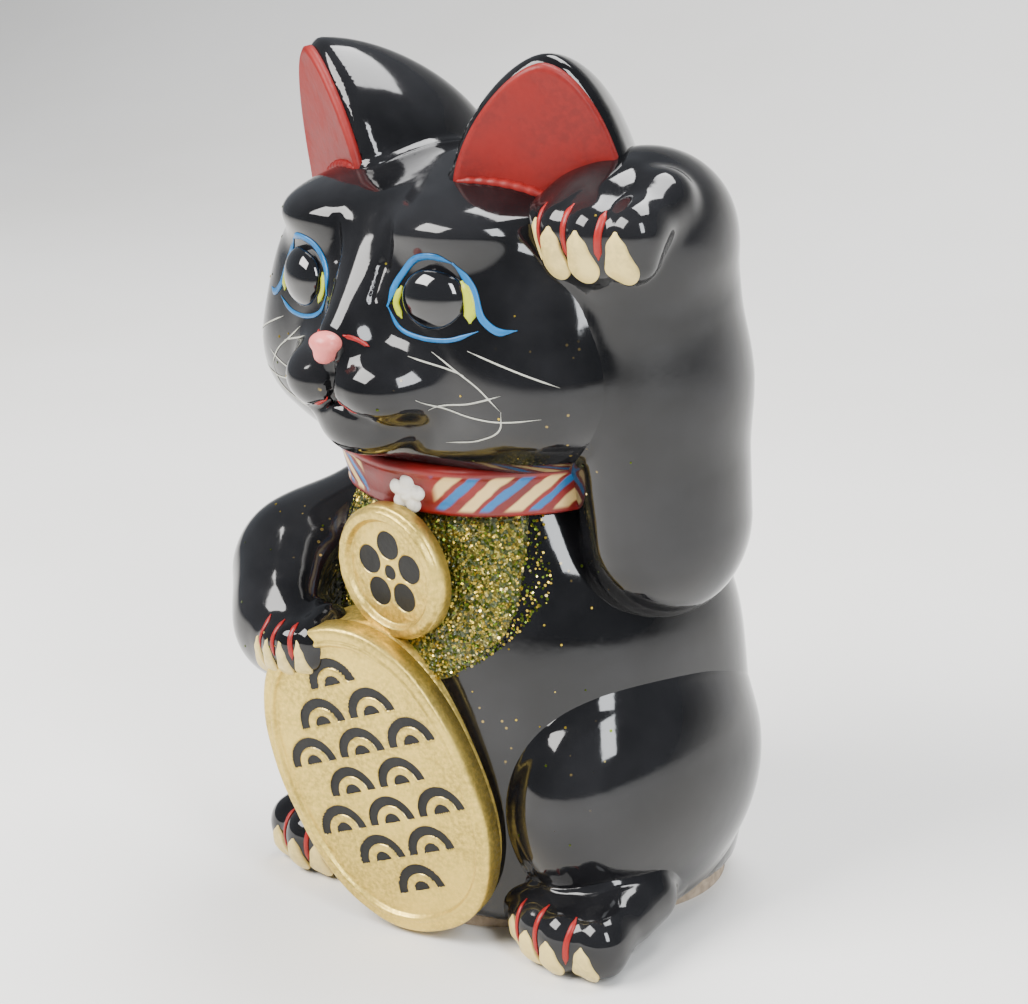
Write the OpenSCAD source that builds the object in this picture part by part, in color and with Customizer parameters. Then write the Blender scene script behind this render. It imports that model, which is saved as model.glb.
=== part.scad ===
// Beckoning cat: a slip-cast, black-glazed figurine with a coin slot and a base stopper.
// Frame: millimetres, +Z up, the cat faces -Y and its left side is +X.
// The origin is on the surface it stands on, under the middle of its box.

/* [Body] */
// Half width of the torso at the belly
belly_half_w = 70; // [66:1:74]
// How far the belly stands forward of the middle
belly_front = 50; // [46:1:54]
// How far the back stands behind the middle
belly_back = 72; // [68:1:76]
// Height of the neck, at the middle of the collar
neck_z = 155; // [150:1:160]
// Wall of the fired clay
wall = 5; // [4:0.5:6]

/* [Head] */
// Half width of the skull
skull_half_w = 76; // [73:1:79]
// Half depth of the skull
skull_half_d = 51; // [48:1:54]
// Half height of the skull
skull_half_h = 49; // [46:1:52]
// Height of the middle of the skull
skull_z = 208; // [206:1:211]

/* [Ears] */
// Height of an ear above the middle of its base line
ear_h = 43; // [38:1:46]
// Half width of an ear along its base line
ear_half_w = 29; // [26:1:31]
// Turn of an ear's face, outward from straight ahead
ear_yaw = 26; // [20:1:32]
// Thickness of the red lining in the ear's face
lining_t = 2; // [1.5:0.5:3]

/* [Arms] */
// Half width of the raised arm, side to side
raised_half_w = 27; // [25:1:28]
// Half depth of the raised arm, front to back
raised_half_d = 35; // [32:1:36]
// Height of the raised paw's top
raised_top_z = 259; // [254:1:262]

/* [Legs] */
// Half sizes of a haunch: side to side, front to back, up and down
haunch_half = [33, 54, 49]; // [30:1:56]
// Radius of a hind foot
foot_r = 15; // [13:1:16]

/* [Collar and bib] */
// Height of the collar band
collar_h = 17; // [14:1:20]
// How far the collar stands out from the neck
collar_t = 4; // [3:0.5:5]
// Thickness of the glitter coat
bib_t = 1.6; // [1.2:0.2:2.4]
// Height of the bib's lowest point
bib_low_z = 91; // [88:1:96]
// Half width of the bib, seen from the front
bib_half_w = 49; // [46:1:52]

/* [Medallion and koban] */
// Radius of the round medallion
medallion_r = 22.5; // [20:0.5:24]
// Thickness of the medallion
medallion_t = 7; // [6:0.5:8]
// Half length of the oval coin
koban_half_l = 55; // [50:1:57]
// Half width of the oval coin
koban_half_w = 38; // [34:1:40]
// Thickness of the oval coin
koban_t = 8; // [6:0.5:9]

/* [Base and stopper] */
// Thickness of the base plate
base_t = 6; // [5:0.5:8]
// Radius of the stopper hole in the base plate
hole_r = 20; // [18:0.5:22]
// Radial clearance of the stopper's plug in its hole
plug_gap = 0.05; // [0.02:0.01:0.1]
// Length of the coin slot
slot_l = 40; // [36:1:42]
// Width of the coin slot
slot_w = 6; // [5:0.5:7]

/* [Hidden] */

// Facets of a large lump, of a limb, of a claw's root, and of a turned or flat round
big = 32;
limb_facets = 24;
small = 12;
oval_facets = 48;
round_facets = 64;
// A cutter larger than the whole cat
huge = 400;
// Centres of the main lumps, all on the cat's middle plane
skull_at = [0, -10, skull_z];
// The torso's section is a round in front hulled with three rounds behind.
// Torso stations: [z, radius, front round's y, back rounds' x, back rounds' y]
belly_r = 46;
torso_stations = [
    [24, belly_r - 1, belly_r - belly_front, belly_half_w - belly_r, belly_back - belly_r],
    [68, belly_r, belly_r - belly_front - 1, belly_half_w - belly_r, belly_back - belly_r],
    [102, belly_r, belly_r - belly_front + 2, belly_half_w - belly_r, belly_back - belly_r],
    [neck_z - 5, 36, 0, 8, 10]
];
// Middle of the neck's hole, front to back
neck_y = 5;
// Radius of the base plate's corners
base_r = belly_r - 8.5;
// Where the oval coin and the medallion lie, and how they lean
koban_at = [-4, -59, 56];
koban_tilt = 21;
koban_yaw = 12;
koban_lean = 4;
medallion_at = [1, -51, 127];
medallion_lean = 3;
// How deep the medallion's disc and the clay behind it reach from its frame, and its rim's size
medallion_back = 2;
rim_r = 2;
medallion_face = medallion_t - 4.5;
// Chamfer round the oval coin's face
koban_chamfer = 1.5;
koban_face = koban_t / 2 - koban_chamfer;
// Depth of the sunk patterns, the black's thickness in them, and its gap to their walls
pattern_depth = 1;
inlay_t = 0.6;
inlay_gap = 0.08;
// Radius of a wave in the oval coin's pattern, and the width of its lines
wave_r = 9.6;
wave_line = 3.6;
// Middle of the left ear's base line, the line's slope, and the lean of the ear's face
ear_at = [44.5, -23, 243.5];
ear_drop = 16.5;
ear_tilt = 8.6;
// The coin slot is cut straight through the back of the head
slot_z = 226;
// Middle of the stopper hole, and the recess that keeps the stopper's flange off the ground
hole_at = [0, 10, 0];
flange_r = hole_r + 4;
recess_h = 3;
flange_lift = 0.6;

black = "#141416";
red = "#a02a22";
gold = "#d8b764";
glitter = "#8a7a24";
clay = "#b9a48c";
rubber = "#26262a";
pink = "#d98078";
eye_black = "#0a0a0c";

// An ellipsoid with half sizes half, about at
module lump(at, half, facets = limb_facets) {
    translate(at) resize(2 * half) sphere(r = 1, $fn = facets);
}

// A limb through stations [x, y, z, r], its round section stretched by the factors in s
module limb(stations, s = [1, 1, 1], grow = 0, facets = limb_facets) {
    for (i = [0 : len(stations) - 2]) {
        hull() {
            for (j = [i, i + 1]) {
                p = stations[j];
                lump([p[0], p[1], p[2]], (p[3] + grow) * s, facets);
            }
        }
    }
}

// Sculpted clay, kept at its own size and made one skin of flat facets
module moulded() {
    resize([0, 0, 0]) children();
}

// Cutters: everything above a height, and everything under the ground
module above(z) {
    translate([-huge / 2, -huge / 2, z]) cube(huge);
}

module below_ground() {
    translate([-huge / 2, -huge / 2, -huge]) cube(huge);
}

// From the cat's left side to its right
module mirrored() {
    mirror([1, 0, 0]) children();
}

// ---- Forms, without their hollows ----

module torso_form(grow = 0, facets = big) {
    for (i = [0 : len(torso_stations) - 2]) {
        hull() {
            for (t = [torso_stations[i], torso_stations[i + 1]]) {
                translate([0, t[2], t[0]]) sphere(r = t[1] + grow, $fn = facets);
                translate([0, t[4] + 3, t[0]]) sphere(r = t[1] + grow, $fn = facets);
                for (side = [-1, 1]) {
                    translate([side * t[3], t[4], t[0]]) sphere(r = t[1] + grow, $fn = facets);
                }
            }
        }
    }
}

// Skull and its back, the cheeks, then the muzzle, the bridge of the nose and the chin
module head_form() {
    lump(skull_at, [skull_half_w, skull_half_d, skull_half_h], big);
    lump(skull_at + [0, 16, -18], [62, 42, 40], big);
    for (side = [-1, 1]) {
        lump(skull_at + [side * 35, -1, -17], [43, 41, 31], big);
    }
    lump(skull_at + [0, -41, -17], [27, 26, 19]);
    lump(skull_at + [0, -40, 2], [13, 22, 17]);
    lump(skull_at + [0, -42, -31], [17, 19, 12]);
}

module ear_frame() {
    translate(ear_at) rotate([0, 0, ear_yaw]) rotate([ear_tilt, 0, 0]) children();
}

// Outline of an ear's face: its base drops outward and its tip is round
module ear_outline(margin = 0) {
    drop = ear_half_w * tan(ear_drop);
    hull() {
        translate([-ear_half_w + 6, drop]) circle(r = 6 - margin, $fn = 16);
        translate([ear_half_w - 7, -drop + 1]) circle(r = 7 - margin, $fn = 16);
        translate([-7, ear_h * 0.6]) circle(r = 10 - margin, $fn = 16);
        translate([13, ear_h * 0.5]) circle(r = 10 - margin, $fn = 16);
        translate([4, ear_h - 7]) circle(r = 7 - margin, $fn = 16);
    }
}

module ear_form() {
    ear_frame() hull() {
        rotate([90, 0, 0]) translate([0, 0, -3]) linear_extrude(3) ear_outline();
        translate([2, 34, -3]) sphere(r = 18, $fn = limb_facets);
        translate([3, 29, ear_h - 26]) sphere(r = 15, $fn = limb_facets);
        translate([4, 12, ear_h - 10]) sphere(r = 10, $fn = limb_facets);
    }
}

module lining_form() {
    ear_frame() rotate([90, 0, 0]) translate([0, 0, -lining_t]) linear_extrude(lining_t + 1) {
        ear_outline(3);
    }
}

module raised_arm_form(grow = 0, facets = limb_facets) {
    s = [raised_half_w / raised_half_d, 1, 1];
    r = raised_half_d;
    hull() {
        limb([[66, 6, 139, r - 2], [64, 4, 188, r], [66, 1, raised_top_z - r + 2, r - 2]], s, grow, facets);
    }
}

module raised_paw_form() {
    hull() {
        lump([66, -2, raised_top_z - 24], [26, 30, 22], 22);
        lump([65, -22, raised_top_z - 25], [21, 14, 14], 22);
    }
}

module lowered_arm_form(grow = 0, facets = limb_facets) {
    limb([[-48, 2, 120, 27], [-64, -30, 106, 26], [-51, -47, 97, 19], [-37, -57, 96, 15]], grow = grow,
        facets = facets);
}

module haunch_form(grow = 0, facets = 28) {
    lump([80 - haunch_half[0], 10, haunch_half[2]], haunch_half + [grow, grow, grow], facets);
}

module foot_form() {
    limb([[57, 12, foot_r - 1, foot_r - 1], [57, -35, foot_r, foot_r]], [1.25, 1, 1]);
}

// Lies down the front of the body, its top towards the cat's right
module koban_frame() {
    translate(koban_at) rotate([0, 0, koban_yaw]) rotate([90 + koban_lean, 0, 0]) {
        rotate([0, 0, koban_tilt]) children();
    }
}

module koban_outline(margin = 0) {
    hull() {
        for (side = [-1, 1]) {
            translate([0, side * (koban_half_l - koban_half_w + 3)]) {
                circle(r = koban_half_w - 3 - margin, $fn = oval_facets);
            }
            translate([side * 8, 0]) circle(r = koban_half_w - 8 - margin, $fn = oval_facets);
        }
    }
}

module medallion_frame() {
    translate(medallion_at) rotate([90 + medallion_lean, 0, 0]) children();
}

// A wave: a half disc inside a half ring, the sunk pattern of the oval coin
module wave(r) {
    intersection() {
        union() {
            difference() {
                circle(r = r, $fn = 20);
                circle(r = r - wave_line, $fn = 20);
            }
            circle(r = r - 2 * wave_line + 1, $fn = 12);
        }
        translate([-r, 0]) square(2 * r);
    }
}

// Rows of waves, one to three in a row as the oval's width allows
module koban_pattern() {
    rows = [1, 2, 3, 2, 3, 2, 1];
    for (i = [0 : len(rows) - 1], k = [0 : rows[i] - 1]) {
        translate([(k - (rows[i] - 1) / 2) * 2.2 * wave_r, (i - 3) * 12.5 - wave_r / 4]) wave(wave_r);
    }
}

// A plum blossom
module medallion_pattern() {
    circle(r = 2.6, $fn = 16);
    for (i = [0 : 4]) {
        rotate([0, 0, i * 72]) translate([0, 9.2]) circle(r = 4.9, $fn = 20);
    }
}

// A claw that points along -Y and down, its root at the origin
module claw(l = 11, r = 3.6) {
    hull() {
        sphere(r = r, $fn = small);
        translate([0, -l * 0.45, -l * 0.55]) sphere(r = 0.9, $fn = 8);
    }
}

// ---- Sub-parts ----

module torso_shell() {
    color(black) moulded() difference() {
        intersection() {
            torso_form();
            above(base_t);
        }
        torso_form(-wall, 20);
        above(neck_z + 11);
    }
}

module base_plate() {
    color(clay) difference() {
        base_blank();
        translate(hole_at - [0, 0, 1]) cylinder(r = hole_r, h = base_t + 2, $fn = round_facets);
        translate(hole_at - [0, 0, 1]) cylinder(r = flange_r, h = recess_h + 1, $fn = round_facets);
    }
}

module head_shell() {
    color(black) moulded() difference() {
        head_form();
        lump(skull_at, [skull_half_w - wall, skull_half_d - wall, skull_half_h - wall], 24);
        torso_form();
        translate([0, neck_y, 100]) cylinder(r = 30, h = 80, $fn = 24);
        translate([-slot_l / 2, 0, slot_z - slot_w / 2]) cube([slot_l, 80, slot_w]);
    }
}

module ear_shell() {
    moulded() difference() {
        ear_form();
        lining_form();
        head_form();
    }
}

module ear_lining() {
    moulded() difference() {
        intersection() {
            lining_form();
            ear_form();
        }
        head_form();
    }
}

module left_ear() {
    color(black) ear_shell();
}

module right_ear() {
    color(black) mirrored() ear_shell();
}

module left_ear_lining() {
    color(red) ear_lining();
}

module right_ear_lining() {
    color(red) mirrored() ear_lining();
}

module raised_arm() {
    color(black) moulded() difference() {
        union() {
            raised_arm_form();
            raised_paw_form();
        }
        raised_arm_form(-wall, 16);
        torso_form();
        head_form();
        ear_form();
    }
}

module lowered_arm() {
    color(black) moulded() difference() {
        lowered_arm_form();
        lowered_arm_form(-wall, 16);
        torso_form();
        head_form();
        koban_blank();
        mirrored() haunch_form();
        // Room for the bib where the arm leaves the chest
        intersection() {
            torso_form(bib_t);
            translate([-60, -80, 60]) cube([60, 60, 100]);
        }
    }
}

module haunch() {
    moulded() difference() {
        haunch_form();
        haunch_form(-wall, 18);
        torso_form();
        below_ground();
    }
}

// The base plate's outline, without its hole
module base_blank() {
    linear_extrude(base_t) hull() {
        translate([0, torso_stations[0][2]]) circle(r = base_r, $fn = round_facets);
        for (side = [-1, 1]) {
            translate([side * torso_stations[0][3], torso_stations[0][4]]) {
                circle(r = base_r, $fn = round_facets);
            }
        }
    }
}

module left_haunch() {
    color(black) haunch();
}

module right_haunch() {
    color(black) mirrored() haunch();
}

module hind_foot() {
    moulded() difference() {
        foot_form();
        haunch_form();
        torso_form();
        below_ground();
    }
}

module left_hind_foot() {
    color(black) hind_foot();
}

module right_hind_foot() {
    color(black) mirrored() hind_foot();
}

module tail() {
    color(black) moulded() difference() {
        limb([[16, 66, 16, 13], [-12, 67, 18, 13], [-38, 64, 24, 12], [-60, 48, 33, 10],
            [-72, 26, 42, 8]], facets = 20);
        torso_form();
        mirrored() haunch_form();
        haunch_form();
        below_ground();
    }
}

// The collar flares upward, under the chin
module collar_form() {
    translate([0, neck_y - 4, neck_z - collar_h / 2]) scale([1.06, 1, 1]) {
        cylinder(r1 = 44 + collar_t, r2 = 48 + collar_t, h = collar_h, $fn = round_facets);
    }
}

module collar_band() {
    color(red) moulded() difference() {
        collar_form();
        torso_form();
        head_form();
        raised_arm_form();
        lowered_arm_form();
    }
}

module flower_form() {
    translate([6, -45.5, neck_z - 2]) rotate([90, 0, 8]) linear_extrude(6) {
        for (i = [0 : 4]) {
            rotate([0, 0, i * 72]) translate([0, 4]) circle(r = 2.7, $fn = 14);
        }
        circle(r = 3, $fn = 16);
    }
}

module collar_flower() {
    color("white") moulded() difference() {
        flower_form();
        collar_form();
        medallion_blank();
    }
}

module bib_outline() {
    hull() {
        translate([0, bib_low_z + bib_half_w]) circle(r = bib_half_w, $fn = oval_facets);
        translate([-bib_half_w, bib_low_z + bib_half_w]) square([2 * bib_half_w, 20]);
    }
}

module bib() {
    color(glitter) moulded() difference() {
        intersection() {
            torso_form(bib_t);
            rotate([90, 0, 0]) linear_extrude(100) bib_outline();
        }
        torso_form();
        above(neck_z - collar_h / 2);
        lowered_arm_form();
        raised_arm_form();
        medallion_blank();
        koban_blank();
    }
}

module medallion_blank() {
    medallion_frame() translate([0, 0, -medallion_back]) {
        cylinder(r = medallion_r, h = medallion_t, $fn = oval_facets);
    }
}

module medallion() {
    color(gold) moulded() difference() {
        medallion_frame() {
            translate([0, 0, -medallion_back]) {
                cylinder(r = medallion_r, h = medallion_face + medallion_back, $fn = oval_facets);
            }
            rotate_extrude($fn = oval_facets) {
                translate([medallion_r - rim_r, medallion_face]) circle(r = rim_r, $fn = 16);
            }
        }
        torso_form();
        koban_blank();
        medallion_frame() translate([0, 0, medallion_face - pattern_depth]) {
            linear_extrude(2 * pattern_depth) medallion_pattern();
        }
    }
}

module medallion_inlay() {
    color(black) moulded() medallion_frame() translate([0, 0, medallion_face - pattern_depth]) {
        linear_extrude(inlay_t) offset(delta = -inlay_gap) medallion_pattern();
    }
}

// Fills the space between the coin and the belly it rests against
module koban_back() {
    translate([0, 0, -30]) linear_extrude(30) koban_outline(2);
}

module koban_blank() {
    koban_frame() {
        translate([0, 0, -koban_t / 2]) linear_extrude(koban_t) koban_outline();
        koban_back();
    }
}

module koban() {
    color(gold) moulded() difference() {
        koban_frame() {
            koban_back();
            hull() {
                translate([0, 0, -koban_t / 2]) linear_extrude(koban_t - 2 * koban_chamfer) koban_outline();
                translate([0, 0, -koban_t / 2]) linear_extrude(koban_t - koban_chamfer) koban_outline(4);
            }
        }
        torso_form();
        haunch_form();
        mirrored() haunch_form();
        koban_frame() translate([0, 0, koban_face - pattern_depth]) {
            linear_extrude(2 * pattern_depth) koban_pattern();
        }
        below_ground();
    }
}

module koban_inlay() {
    color(black) moulded() koban_frame() translate([0, 0, koban_face - pattern_depth]) {
        linear_extrude(inlay_t) offset(delta = -inlay_gap) koban_pattern();
    }
}

module nose() {
    color(pink) moulded() difference() {
        lump(skull_at + [0, -62, -1], [6, 4.5, 5], 16);
        head_form();
    }
}

module eye() {
    moulded() difference() {
        translate(skull_at + [27, -44, 11]) rotate([0, 0, 22]) resize([23, 10, 21]) {
            sphere(r = 1, $fn = 20);
        }
        head_form();
    }
}

module left_eye() {
    color(eye_black) eye();
}

module right_eye() {
    color(eye_black) mirrored() eye();
}

module raised_paw_claws() {
    color(gold) moulded() difference() {
        for (x = [62, 73, 84]) {
            translate([x, -33, raised_top_z - 27]) rotate([20, 0, 0]) claw();
        }
        raised_paw_form();
        raised_arm_form();
        head_form();
    }
}

module lowered_paw_claws() {
    color(gold) moulded() difference() {
        for (i = [0 : 3]) {
            translate([-46 + i * 6.5, -67 - i * 0.6, 88 + i * 2]) rotate([15, 0, -20]) claw(10, 3);
        }
        lowered_arm_form();
        koban_blank();
    }
}

module foot_claws() {
    moulded() difference() {
        for (x = [-14, -5, 5, 14]) {
            translate([57 + x, -46 + abs(x) * 0.3, 11]) claw(11, 3.4);
        }
        foot_form();
    }
}

module left_foot_claws() {
    color(gold) foot_claws();
}

module right_foot_claws() {
    color(gold) mirrored() foot_claws();
}

// Soft plug: its flange sits in the recess, a slot in it takes a coin's edge
module stopper() {
    color(rubber) translate(hole_at) difference() {
        translate([0, 0, flange_lift]) {
            cylinder(r = flange_r - 0.5, h = recess_h - flange_lift - 0.05, $fn = round_facets);
            cylinder(r = hole_r - plug_gap, h = base_t + 1.4, $fn = round_facets);
        }
        translate([0, 0, base_t - 1]) cylinder(r = hole_r - 3, h = 5, $fn = round_facets);
        translate([-9, -1.25, 0]) cube([18, 2.5, 1.8]);
    }
}

torso_shell();
base_plate();
head_shell();
left_ear();
right_ear();
left_ear_lining();
right_ear_lining();
raised_arm();
lowered_arm();
left_haunch();
right_haunch();
left_hind_foot();
right_hind_foot();
tail();
collar_band();
collar_flower();
bib();
medallion();
medallion_inlay();
koban();
koban_inlay();
nose();
left_eye();
right_eye();
raised_paw_claws();
lowered_paw_claws();
left_foot_claws();
right_foot_claws();
stopper();
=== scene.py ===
import math
import random

import bmesh
import bpy
import numpy as np
from bpy.props import FloatProperty, FloatVectorProperty, IntProperty, PointerProperty
from mathutils import Euler, Matrix, Vector


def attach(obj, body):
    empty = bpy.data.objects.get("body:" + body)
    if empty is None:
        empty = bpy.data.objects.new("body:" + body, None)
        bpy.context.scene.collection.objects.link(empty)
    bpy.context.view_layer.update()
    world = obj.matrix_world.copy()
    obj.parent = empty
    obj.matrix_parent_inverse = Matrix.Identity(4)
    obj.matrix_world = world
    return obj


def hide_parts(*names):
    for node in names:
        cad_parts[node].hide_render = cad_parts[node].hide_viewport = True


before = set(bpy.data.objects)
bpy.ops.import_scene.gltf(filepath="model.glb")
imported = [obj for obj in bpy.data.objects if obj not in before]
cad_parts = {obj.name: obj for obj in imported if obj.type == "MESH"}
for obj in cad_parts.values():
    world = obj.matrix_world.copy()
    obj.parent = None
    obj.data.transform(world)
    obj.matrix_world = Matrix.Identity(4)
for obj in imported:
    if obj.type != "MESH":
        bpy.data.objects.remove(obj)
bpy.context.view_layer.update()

bl_info = {
    "name": "Beckoning Cat",
    "version": (1, 0, 0),
    "blender": (4, 5, 0),
    "location": "View3D > Sidebar > Cat",
    "description": "Models the glazed forms, gilding, glitter and painted face of a beckoning cat",
    "category": "Object",
}

# Sizes below are in millimetres, in the part's frame: the cat faces -Y, its left side is +X.
MM = 0.001
LEFT, RIGHT = 1, -1


# ---- Settings -------------------------------------------------------------------------------


class ClaySettings(bpy.types.PropertyGroup):
    """How finely the glazed forms are modelled and how softly they run together"""

    grain: FloatProperty(
        name="Grain", description="Edge of a face on the glazed forms", default=0.0012, unit="LENGTH"
    )
    seam: FloatProperty(
        name="Seam", description="Width of the glaze fillet between two forms", default=0.0025, unit="LENGTH"
    )


class PaintSettings(bpy.types.PropertyGroup):
    """Colours of the glaze, the paints and the gilding"""

    glaze: FloatVectorProperty(
        name="Glaze", description="Black glaze", default=(0.0035, 0.0035, 0.004), subtype="COLOR", size=3
    )
    red: FloatVectorProperty(
        name="Red", description="Ear and collar red", default=(0.20, 0.006, 0.004), subtype="COLOR", size=3
    )
    blue: FloatVectorProperty(
        name="Blue", description="Eye outline blue", default=(0.008, 0.13, 0.34), subtype="COLOR", size=3
    )
    yellow: FloatVectorProperty(
        name="Yellow", description="Eye corner yellow", default=(0.42, 0.47, 0.02), subtype="COLOR", size=3
    )
    cream: FloatVectorProperty(
        name="Cream", description="Cream brush strokes", default=(0.72, 0.50, 0.20), subtype="COLOR", size=3
    )
    gold: FloatVectorProperty(
        name="Gold", description="Gold paint", default=(0.70, 0.51, 0.12), subtype="COLOR", size=3
    )
    pink: FloatVectorProperty(
        name="Pink", description="Nose pink", default=(0.72, 0.19, 0.17), subtype="COLOR", size=3
    )


class GlitterSettings(bpy.types.PropertyGroup):
    """The glitter coat of the bib and the flakes that strayed from it"""

    flake: FloatProperty(
        name="Flake", description="Size of a glitter flake", default=0.0009, unit="LENGTH"
    )
    strays: IntProperty(
        name="Strays", description="Flakes lying on the black glaze", default=130, min=0
    )


class StageSettings(bpy.types.PropertyGroup):
    """Where the cat is seen from and how it is lit"""

    azimuth: FloatProperty(
        name="Azimuth", description="Camera turn about the cat", default=math.radians(43), unit="ROTATION"
    )
    elevation: FloatProperty(
        name="Elevation", description="Camera height angle", default=math.radians(18.3), unit="ROTATION"
    )
    roll: FloatProperty(
        name="Roll", description="Camera roll", default=math.radians(-2.5), unit="ROTATION"
    )
    distance: FloatProperty(
        name="Distance", description="From the camera to the cat", default=0.7653, unit="LENGTH"
    )
    lens: FloatProperty(name="Lens", description="Focal length in millimetres", default=80.5, unit="CAMERA")
    window: FloatProperty(
        name="Window", description="Power of the soft light in front", default=52.25, unit="POWER"
    )
    lamp: FloatProperty(
        name="Lamp", description="Power of the narrow light at the cat's left", default=24.7, unit="POWER"
    )
    top: FloatProperty(name="Top", description="Power of the light above", default=42.75, unit="POWER")


def settings():
    return bpy.context.scene.cat


# ---- Clay: smooth fields in metres, negative inside -----------------------------------------


def smooth_min(a, b, soft):
    blend = np.maximum(soft - np.abs(a - b), 0) / soft
    return np.minimum(a, b) - blend * blend * soft / 4


class Clay:
    """A sculpted form: a smooth field, and the rough balls that its mesh starts from."""

    def __init__(self, field, balls=()):
        self.field = field
        self.balls = list(balls)

    def __call__(self, points):
        return self.field(points)

    def add(self, other, soft):
        """Joins another form, the two running together over a soft width in millimetres."""
        balls = self.balls + other.balls
        return Clay(lambda p: smooth_min(self(p), other(p), soft * MM), balls)

    def cut(self, other, soft):
        return Clay(lambda p: -smooth_min(-self(p), other(p), soft * MM), self.balls)

    def mirrored(self):
        flip = Matrix.Scale(-1, 4, (1, 0, 0))
        return Clay(lambda p: self(p * (-1, 1, 1)), [flip @ ball for ball in self.balls])

    def groove(self, path, radii, soft):
        """Presses a round tool along a path laid on the surface; radii has its radius at each point."""
        laid = settled(self, np.array(path, float) * MM, 8) / MM
        return self.cut(limb([(*point, r) for point, r in zip(laid, radii)], soft=0.5), soft)


def slope(form, points):
    """The field's gradient at points, by central differences."""
    step = 0.1 * MM
    rise = np.empty_like(points)
    for axis in range(3):
        shift = np.zeros(3)
        shift[axis] = step
        rise[:, axis] = (form(points + shift) - form(points - shift)) / (2 * step)
    return rise


def settled(form, points, rounds):
    """Moves points along the field's slope until they lie on the form."""
    for _ in range(rounds):
        rise = slope(form, points)
        steepness = np.maximum((rise * rise).sum(1), 0.05)
        move = (form(points) / steepness)[:, None] * rise
        size = np.linalg.norm(move, axis=1, keepdims=True)
        points = points - move * np.minimum(1, 4 * MM / np.maximum(size, 1e-9))
    return points


def egg(centre, half, turn=(0, 0, 0)):
    """An ellipsoid about centre, turned by Euler degrees."""
    middle = np.array(centre) * MM
    reach = np.array(half) * MM
    spin = Euler([math.radians(a) for a in turn]).to_matrix()
    axes = np.array(spin)

    def field(p):
        q = (p - middle) @ axes / reach
        near = np.linalg.norm(q, axis=1)
        far = np.linalg.norm(q / reach, axis=1)
        return near * (near - 1) / np.maximum(far, 1e-6)

    ball = Matrix.Translation(middle) @ spin.to_4x4() @ Matrix.Diagonal((*reach, 1))
    return Clay(field, [ball])


def round_cone(p, a, b, ra, rb):
    along = b - a
    reach = along @ along
    drop = ra - rb
    flat = reach - drop * drop
    offset = p - a
    y = offset @ along
    z = y - reach
    side = offset * reach - y[:, None] * along
    x2 = (side * side).sum(1)
    y2 = y * y * reach
    z2 = z * z * reach
    k = np.sign(drop) * drop * drop * x2
    end = np.sqrt(x2 + z2) / reach - rb
    start = np.sqrt(x2 + y2) / reach - ra
    middle = (np.sqrt(np.maximum(x2 * flat / reach, 0)) + y * drop) / reach - ra
    return np.where(np.sign(z) * flat * z2 > k, end, np.where(np.sign(y) * flat * y2 < k, start, middle))


def limb(stations, stretch=(1, 1, 1), soft=6):
    """A limb through stations (x, y, z, radius), its round section stretched."""
    scale = np.array(stretch, float)
    places = [np.array(s[:3]) * MM / scale for s in stations]
    radii = [s[3] * MM for s in stations]

    def field(p):
        q = p / scale
        least = None
        for i in range(len(places) - 1):
            part = round_cone(q, places[i], places[i + 1], radii[i], radii[i + 1])
            least = part if least is None else smooth_min(least, part, soft * MM)
        return least * scale.min()

    balls = []
    for i in range(len(stations) - 1):
        for share in (0, 0.33, 0.67, 1):
            mid = np.array(stations[i]) * (1 - share) + np.array(stations[i + 1]) * share
            half = mid[3] * scale * MM
            balls.append(Matrix.Translation(mid[:3] * MM) @ Matrix.Diagonal((*half, 1)))
    return Clay(field, balls)


def soft_step(value, low, high):
    t = np.clip((value - low) / (high - low), 0, 1)
    return t * t * (3 - 2 * t)


def along(z, knots, values):
    """A smooth curve through values at knots, for every z."""
    knots = np.array(knots, float)
    values = np.array(values, float)
    slopes = np.gradient(values, knots)
    z = np.clip(z, knots[0], knots[-1])
    i = np.clip(np.searchsorted(knots, z) - 1, 0, len(knots) - 2)
    span = knots[i + 1] - knots[i]
    t = (z - knots[i]) / span
    a = (2 * t**3 - 3 * t**2 + 1) * values[i] + (t**3 - 2 * t**2 + t) * span * slopes[i]
    return a + (3 * t**2 - 2 * t**3) * values[i + 1] + (t**3 - t**2) * span * slopes[i + 1]


def seated(form, *neighbours):
    """A form that runs into its neighbours with a glaze fillet and sinks just past the seam."""
    seam = settings().clay.seam

    def field(p):
        own = form(p)
        for other in neighbours:
            theirs = other(p)
            past = np.maximum(own - theirs, 0)
            own = smooth_min(own, theirs, seam) + 0.5 * past * past / seam
        return own

    return Clay(field, form.balls)


def only_above(form, z):
    """The form cut off flat at height z, with a softened edge."""
    soft = 4 * MM
    return Clay(lambda p: -smooth_min(-form(p), p[:, 2] - z * MM, soft), form.balls)


# ---- The cat's forms ------------------------------------------------------------------------

SKULL = (0, -10, 208)
BELLY_FRONT, BELLY_BACK, BELLY_HALF_W = 50, 75, 70
# Where the toes of each paw lie, across
RAISED_TOES = ((52.5, -24), (61.5, -31), (72.5, -32), (84, -28))
LOWERED_TOES = ((-45, -63), (-38, -66.5), (-31, -67), (-24.5, -65))
FOOT_TOES = ((40, -34), (49, -39.5), (59, -41), (70.5, -37.5))


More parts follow.
